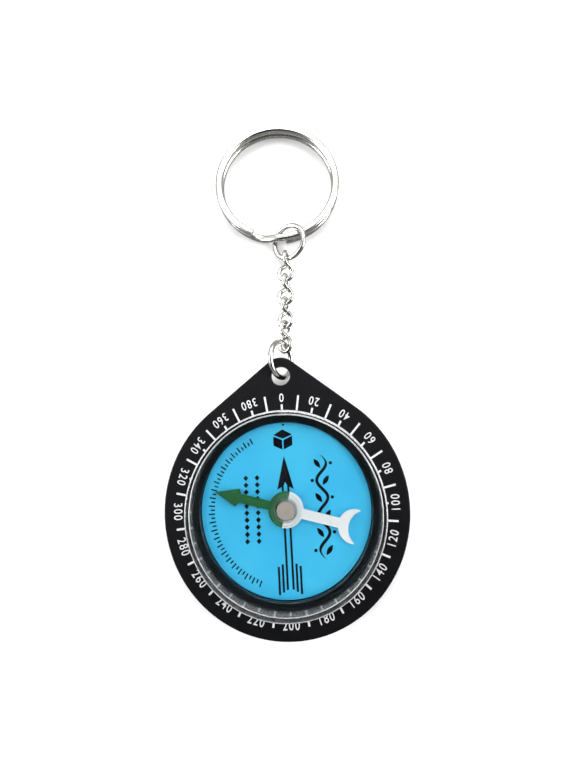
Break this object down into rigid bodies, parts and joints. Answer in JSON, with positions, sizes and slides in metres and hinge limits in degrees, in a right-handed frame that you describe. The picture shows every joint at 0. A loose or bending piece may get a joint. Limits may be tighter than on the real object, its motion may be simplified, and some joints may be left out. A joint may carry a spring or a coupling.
{
  "type": "qibla compass",
  "caption": "Pocket direction compass with a teardrop body, a clear domed capsule over a dial and needle, and a short key-ring chain.",
  "frame": {"origin": "centre of the round flat back, on the table", "axes": "+Y from the dial's centre to the tab and along the chain, +Z out of the dial"},
  "size_m": [0.0432, 0.0976, 0.0095],
  "materials": {
    "black_plastic": "fine matte moulded black, with a printed scale",
    "clear_plastic": "clear, polished",
    "insert_plastic": "black moulded",
    "dial_print": "bright blue print on a thin card",
    "pin_steel": "hardened, ground point",
    "needle_paint": "thin steel, one half green, the other white",
    "hub_plastic": "clear, moulded",
    "bearing_metal": "turned, dull grey-beige metal",
    "nickel_wire": "bright nickel plate on steel wire"
  },
  "bodies": {
    "compass": {"body": "black_plastic", "capsule_lens": "clear_plastic", "dial_base": "insert_plastic", "dial_card": "dial_print", "pivot_pin": "pin_steel"},
    "needle": {"needle_blade": "needle_paint", "needle_hub": "hub_plastic", "needle_bearing": "bearing_metal"},
    "lower_ring": {"lower_jump_ring": "nickel_wire"},
    "link_4": {"chain_link_4": "nickel_wire"},
    "link_3": {"chain_link_3": "nickel_wire"},
    "link_2": {"chain_link_2": "nickel_wire"},
    "link_1": {"chain_link_1": "nickel_wire"},
    "upper_ring": {"upper_jump_ring": "nickel_wire"},
    "split_ring": {"split_ring": "nickel_wire"}
  },
  "joints": [
    {"name": "needle_turn", "type": "hinge", "parent": "compass", "child": "needle", "pos_m": [0, 0, 0.00725], "axis": [0, 0, 1], "continuous": true},
    {"name": "lower_ring_swing", "type": "hinge", "parent": "compass", "child": "lower_ring", "pos_m": [0, 0.02587, 0.0044], "axis": [0.8504, 0.008, 0.5261], "range_deg": [-60, 80]},
    {"name": "link_4_swing", "type": "hinge", "parent": "lower_ring", "child": "link_4", "pos_m": [0.00104, 0.02941, 0.00264], "axis": [0.4659, -0.4761, -0.7458], "range_deg": [-60, 60]},
    {"name": "link_3_swing", "type": "hinge", "parent": "link_4", "child": "link_3", "pos_m": [0.00121, 0.0329, 0.00251], "axis": [0.9132, -0.0291, 0.4064], "range_deg": [-60, 60]},
    {"name": "link_2_swing", "type": "hinge", "parent": "link_3", "child": "link_2", "pos_m": [0.00149, 0.03869, 0.00228], "axis": [-0.4045, 0.0548, 0.9129], "range_deg": [-60, 60]},
    {"name": "link_1_swing", "type": "hinge", "parent": "link_2", "child": "link_1", "pos_m": [0.00168, 0.04249, 0.00214], "axis": [-0.984, 0.0415, -0.1735], "range_deg": [-60, 60]},
    {"name": "upper_ring_swing", "type": "hinge", "parent": "link_1", "child": "upper_ring", "pos_m": [0.0019, 0.04706, 0.00196], "axis": [0.8277, -0.2602, 0.4973], "range_deg": [-60, 60]},
    {"name": "split_ring_swing", "type": "hinge", "parent": "upper_ring", "child": "split_ring", "pos_m": [0.00272, 0.05033, 0.00232], "axis": [-0.507, 0.0331, 0.8613], "range_deg": [-75, 40]}
  ]
}
